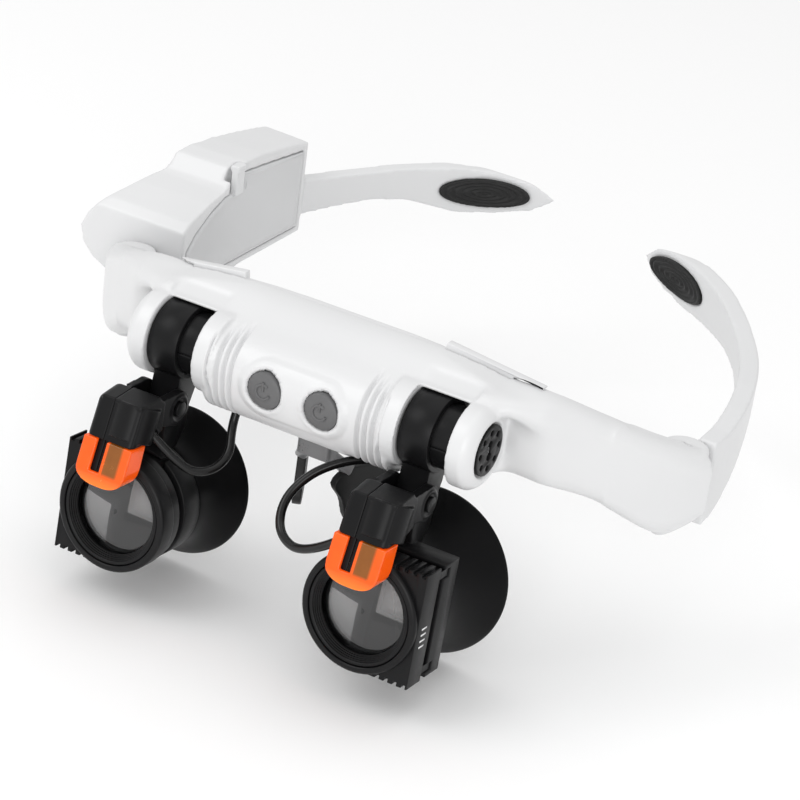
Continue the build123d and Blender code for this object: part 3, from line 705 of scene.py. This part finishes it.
for side, s in sides.items():
    home = loupeFrame(side)
    sight = home @ at(0, 0, -sightDrop)
    bm = lathe(bmesh.new(), cup["profile"], 72)
    for v in bm.verts:
        flare = fade(v.co.y, 0.0, 10.0)
        v.co.x *= 1 + cup["rim"][side] * flare
        v.co.z *= 1 + cup["rim"][side] * flare
        v.co.y += cup["depth"][side] * flare
    bm.transform(sight)
    made = meshObject("eyecup_" + side + "_bell", bm)
    smooth = made.modifiers.new("smooth", "SUBSURF")
    smooth.levels = smooth.render_levels = 1
    place(made, "loupe_" + side, finishes["matt"], "black_plastic", ["eyecup_" + side], sharp=0)

    # lens module: the square plate, its bore, and the stepped ring
    bm = slab(bmesh.new(), plateOutline(s), plate["front"], plate["back"])
    roundEdges(bm, 0.16, 2, 40)
    made = meshObject("module_" + side + "_plate", bm)
    tool = bmesh.new()
    rod(tool, plate["boreRadius"], plate["boreLength"],
        at(0, plate["boreMiddle"], 0) @ Matrix.Rotation(pi / 2, 4, "X"), 96)
    cut(made, tool)
    bm = bmesh.new()
    bm.from_mesh(made.data)
    for z in (-plate["railUp"], plate["railUp"]):  # rails behind
        block(bm, plate["rail"], at(s * plate["railAcross"], plate["railBack"], z))
    bm.transform(sight)
    bm.to_mesh(made.data)
    bm.free()
    place(made, "lens_module_" + side, finishes["black"], "black_plastic", ["module_" + side])
    bm = lathe(bmesh.new(), ringTube["profile"], 112)
    roundEdges(bm, 0.10, 2, 50)
    bm.transform(sight)
    place(meshObject("module_" + side + "_ring", bm), "lens_module_" + side, finishes["ring"],
          "black_plastic")
    bm = lathe(bmesh.new(), clampRing["profile"], 112)
    bm.transform(sight)
    place(meshObject("clampRing_" + side, bm), "lens_module_" + side, finishes["ring"], "black_plastic",
          ["lens_ring_" + side])
    place(makeMark(side, s), "lens_module_" + side, finishes["mark"], "white_shell", sharp=0)
    dress("lens_" + side, makeGlass(side))
    shaft, lensX = middle("axle_" + side), middle("lens_" + side).x / mm

    arm = eased("carrier_" + side + "_arm", "carrier_" + side, "loupe_" + side, finishes["black"],
                "black_plastic", 0.00028)
    for v in arm.data.vertices:  # a narrower collar clears the window at both ends of its slide
        x = v.co.x / mm - lensX
        if (v.co.yz - shaft.yz).length < collar["reach"] * mm:
            v.co.x = (lensX + max(-collar["half"], min(collar["half"], x))) * mm
    for half in ("upper", "lower"):
        eased("sleeve_" + half + "_" + side + "_half", "sleeve_" + half + "_" + side, "sleeve_" + side,
              finishes["black"], "black_plastic", 0.00018)
    bm = flattened("end_cap_" + side)
    roundEdges(bm, 0.00014)
    for v in bm.verts:  # sits a little in from the rim round it
        v.co.x -= s * endCap["sunk"] * mm
        v.co.y = shaft.y + (v.co.y - shaft.y) * endCap["scale"]
        v.co.z = shaft.z + (v.co.z - shaft.z) * endCap["scale"]
    place(meshObject("endCap_" + side, bm), "bar", finishes["black"], "black_plastic", ["end_cap_" + side])
    bm = bmesh.new()
    rod(bm, endCap["screwRadius"] * mm, endCap["screwDepth"] * mm,
        at(s * endCap["screwX"] * mm, shaft.y, shaft.z) @ Matrix.Rotation(pi / 2, 4, "Y"), 20)
    place(meshObject("capScrew_" + side, bm), "bar", finishes["steel"], "steel")

    # lamp: softened halves, the outer one with its lip, front ridge and eared disc
    for half, name in (("inner", "lampInner_"), ("outer", "lampOuter_")):
        bm = copyOf("lamp_shell_" + half + "_" + side)
        if half == "outer":
            extra = prism(bmesh.new(), lamp["lip"], lamp["lipFrom"], lamp["lipTo"])
            slope = atan2(lamp["frontTop"] - lamp["frontLow"], lamp["top"] - lamp["low"])
            mid = (lamp["top"] + lamp["low"]) / 2 - 0.4
            spot = at(lamp["ridgeX"], lampFront(mid) + lamp["ridge"] - lamp["proud"], mid)
            rod(extra, lamp["ridge"], lamp["ridgeLength"], spot @ Matrix.Rotation(-slope, 4, "X"), 64)
            b0, u0 = lamp["ear"]
            disc = lathe(bmesh.new(), lamp["disc"], 48)
            addTo(extra, disc, at(0, b0, u0) @ Matrix.Rotation(-pi / 2, 4, "Z"))
            addTo(bm, extra, home)
        made = fuse(meshObject(name + side, bm), 0.00020, 4)
        softLamp(made, home, half)
        place(made, "lamp_" + side, finishes["black"], "black_plastic",
              ["lamp_shell_" + half + "_" + side], sharp=0)
    made = fuse(makeCap("amberCap_" + side, home), 0.00018, 3)
    place(made, "lamp_" + side, makeAmber(side), "amber_plastic", ["lamp_cap_" + side], sharp=0)
    eased("lampScrew_" + side, "lamp_screw_" + side, "lamp_" + side, finishes["black"],
          "black_plastic", 0.0002)
    dress("led_" + side, finishes["led"])
print("loupes done")

# leads, from the bar to each lamp
leads = {
    "r": ((20.6, -9.5, 10.6), (18.8, -14.6, 8.4), (13.3, -19.5, 8.0), (7.6, -25.0, 4.7), (4.6, -30.5, -1.0),
          (7.4, -35.5, -6.6), (16.4, -39.6, -6.4), (25.6, -41.2, 1.6)),
    "l": ((-18.8, -11.0, 14.0), (-18.9, -13.6, 8.0), (-18.6, -16.0, 3.2), (-15.8, -20.4, -1.4),
          (-17.7, -25.9, -4.3), (-22.9, -30.1, -3.2), (-30.2, -32.4, 4.4)),
    "diameter": 0.0021, "length": {"r": 0.0588, "l": 0.0420},
}


def leadCurve(name, route, bevel):
    line = bpy.data.curves.new(name, "CURVE")
    line.dimensions = "3D"
    line.resolution_u = 12
    line.bevel_depth = bevel
    line.bevel_resolution = 6
    line.use_fill_caps = bevel > 0
    spline = line.splines.new("NURBS")
    spline.points.add(len(route) - 1)
    for point, spot in zip(spline.points, route):
        point.co = (*(c * mm for c in spot), 1.0)
    spline.order_u = 3
    spline.use_endpoint_u = True
    made = bpy.data.objects.new(name, line)
    scene.collection.objects.link(made)
    graph = bpy.context.evaluated_depsgraph_get()
    mesh = bpy.data.meshes.new_from_object(made.evaluated_get(graph))
    bpy.data.objects.remove(made)
    return mesh


for side in sides:
    route = leads[side]
    middleLine = [v.co.copy() for v in leadCurve("leadLine", route, 0.0).vertices]
    made = bpy.data.objects.new("lead_" + side + "_jacket", leadCurve("lead", route, leads["diameter"] / 2))
    scene.collection.objects.link(made)
    made.data.materials.clear()
    made.data.materials.append(finishes["jacket"])
    made.data.polygons.foreach_set("use_smooth", [True] * len(made.data.polygons))
    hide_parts("lead_" + side)
    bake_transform(made)
    run = sum((b - a).length for a, b in zip(middleLine, middleLine[1:]))
    print("lead", side, "runs", round(run / mm, 1), "mm")

# nose piece
made = fuse(meshObject("noseBracket", copyOf("nose_bracket")), 0.00022, 4)
place(made, "bar", finishes["smoke"], "smoke_clear", ["nose_bracket"], sharp=0)
for side in sides:
    made = fuse(meshObject("nosePad_" + side, copyOf("nose_pad_" + side)), 0.00025, 5)
    place(made, "bar", finishes["rubber"], "black_rubber", ["nose_pad_" + side], sharp=0)

# temples, case and door
temple = {"tipRight": 117.0, "tipLeft": 130.0, "rounds": 14}


def softTip(made, start):  # rounds the thin end of a temple
    bm = bmesh.new()
    bm.from_mesh(made.data)
    tip = [v for v in bm.verts if v.co.y > start * mm]
    for k in range(temple["rounds"]):
        bmesh.ops.smooth_vert(bm, verts=tip, factor=0.5, use_axis_x=True, use_axis_y=True, use_axis_z=True)
    bm.to_mesh(made.data)
    bm.free()


made = fuse(meshObject("templeRight", copyOf("temple_r")), 0.00045, 6)
softTip(made, temple["tipRight"])
place(made, "temple_right", finishes["white"], "white_shell", ["temple_r"], sharp=0)
made = fuse(meshObject("batteryCase", copyOf("battery_case")), 0.00045, 6)
softTip(made, temple["tipLeft"])
place(made, "temple_left", finishes["white"], "white_shell", ["battery_case"], sharp=0)

door = {"outline": ((33.35, 7.25), (87.45, 7.25), (87.45, 28.45), (66.0, 30.45), (57.95, 31.05),
                    (57.95, 27.05), (49.6, 26.45), (43.05, 23.85), (37.1, 20.25), (33.35, 16.5)),
        "back": -66.6, "front": -65.0, "border": 1.3, "slope": 0.35, "sunk": 0.22,
        "pinRadius": 0.75, "pinLength": 50.0, "pin": (-65.8, 60.0, 7.9)}
bm = prism(bmesh.new(), door["outline"], door["back"], door["front"])
outerFace = max(bm.faces, key=lambda f: f.calc_center_median().x)
bmesh.ops.inset_region(bm, faces=[outerFace], thickness=door["border"], depth=0.0)
bmesh.ops.inset_region(bm, faces=[outerFace], thickness=door["slope"], depth=-door["sunk"])
roundEdges(bm, 0.35, 3, 40, lambda e: max(v.co.x for v in e.verts) > -65.6)
rod(bm, door["pinRadius"], door["pinLength"], at(*door["pin"]) @ Matrix.Rotation(pi / 2, 4, "X"), 20)
bm.transform(Matrix.Scale(mm, 4))
place(meshObject("doorPanel", bm), "door", finishes["door"], "white_shell", ["battery_door"])
latch = {"size": (1.9, 3.6, 8.0), "centre": (-65.1, 54.6, 30.2),
         "hook": (2.6, 3.4, 1.4), "hookCentre": (-65.2, 54.6, 33.4)}
bm = bmesh.new()
block(bm, latch["size"], at(*latch["centre"]))
block(bm, latch["hook"], at(*latch["hookCentre"]))
bm.transform(Matrix.Scale(mm, 4))
made = fuse(meshObject("doorLatch", bm), 0.00018, 5)
place(made, "door", finishes["white"], "white_shell", sharp=0)

# ear pads: rubber ovals with ribs round and round
earPads = {
    "r": {"centre": (35.0, 119.2, 14.2), "along": (-0.85, 0.53, 0), "body": "temple_right"},
    "l": {"centre": (-33.2, 132.7, 14.1), "along": (0.84, 0.54, 0), "body": "temple_left"},
    "half": (12.5, 4.0), "rib": 0.22, "ribs": 5.0,
}
for side in sides:
    pad = earPads[side]
    along = Vector(pad["along"]).normalized()
    across = Vector((0, 0, 1)).cross(along)
    made = fuse(meshObject("earPad_" + side + "_rubber", copyOf("ear_pad_" + side)), 0.00026, 3)
    bm = bmesh.new()
    bm.from_mesh(made.data)
    bm.normal_update()
    for v in bm.verts:
        off = v.co / mm - Vector(pad["centre"])
        oval = sqrt((off.dot(along) / earPads["half"][0]) ** 2 + (off.z / earPads["half"][1]) ** 2)
        flat = abs(v.normal.dot(across))
        if flat > 0.6 and oval < 0.9:
            v.co += v.normal * (earPads["rib"] * mm * cos(oval * 2 * pi * earPads["ribs"]))
    bm.to_mesh(made.data)
    bm.free()
    place(made, pad["body"], finishes["rubber"], "black_rubber", ["ear_pad_" + side], sharp=0)
print("temples done")

# floor, light and camera
low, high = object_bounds()
floorFinish = Finish("floorPale", {"Base Color": (0.96, 0.96, 0.96, 1.0), "Specular IOR Level": 0.1})
floorFinish.feed("Roughness", 0.7 + floorFinish.noise(30.0) * 0.1)
bm = bmesh.new()
bmesh.ops.create_grid(bm, x_segments=1, y_segments=1, size=4.0, matrix=at(0, 0, low.z - 0.0004))
floor = meshObject("floor", bm)
floor.data.materials.append(floorFinish.material)

world = bpy.data.worlds.new("studio")
scene.world = world
world.use_nodes = True
world.node_tree.nodes["Background"].inputs["Color"].default_value = (1.0, 1.0, 1.0, 1.0)
world.node_tree.nodes["Background"].inputs["Strength"].default_value = 0.80
scene.view_settings.view_transform = "Standard"

lamps = (
    # name, place, aimed at, width, height, power
    ("keyLight", (-0.55, -0.55, 0.85), (0, 0.03, 0), 0.6, 0.6, 2.6),
    ("topLight", (0.05, 0.15, 1.0), (0, 0.03, 0), 0.8, 0.8, 1.2),
    ("frontLight", (0.45, -0.95, 0.35), (0, 0.0, 0), 0.6, 0.6, 3.6),
)
for name, spot, target, wide, tall, power in lamps:
    light = bpy.data.lights.new(name, "AREA")
    light.shape = "RECTANGLE"
    light.size, light.size_y = wide, tall
    light.energy = power
    made = bpy.data.objects.new(name, light)
    made.location = spot
    made.rotation_euler = (Vector(target) - Vector(spot)).to_track_quat("-Z", "Y").to_euler()
    scene.collection.objects.link(made)

view = {"spot": (0.2617, -0.5043, 0.2938), "right": (0.8633, 0.4894, 0.1228), "up": (-0.3157, 0.3340, 0.8881),
        "ahead": (-0.3937, 0.8055, -0.4428), "lens": 123.94}
camera = bpy.data.cameras.new("camera")
camera.lens = view["lens"]
camera.sensor_width = 36.0
camera.clip_start, camera.clip_end = 0.01, 20.0
cameraObject = bpy.data.objects.new("camera", camera)
axes = Matrix((view["right"], view["up"], [-c for c in view["ahead"]])).transposed()
cameraObject.matrix_world = at(*view["spot"]) @ axes.to_4x4()
scene.collection.objects.link(cameraObject)
scene.camera = cameraObject
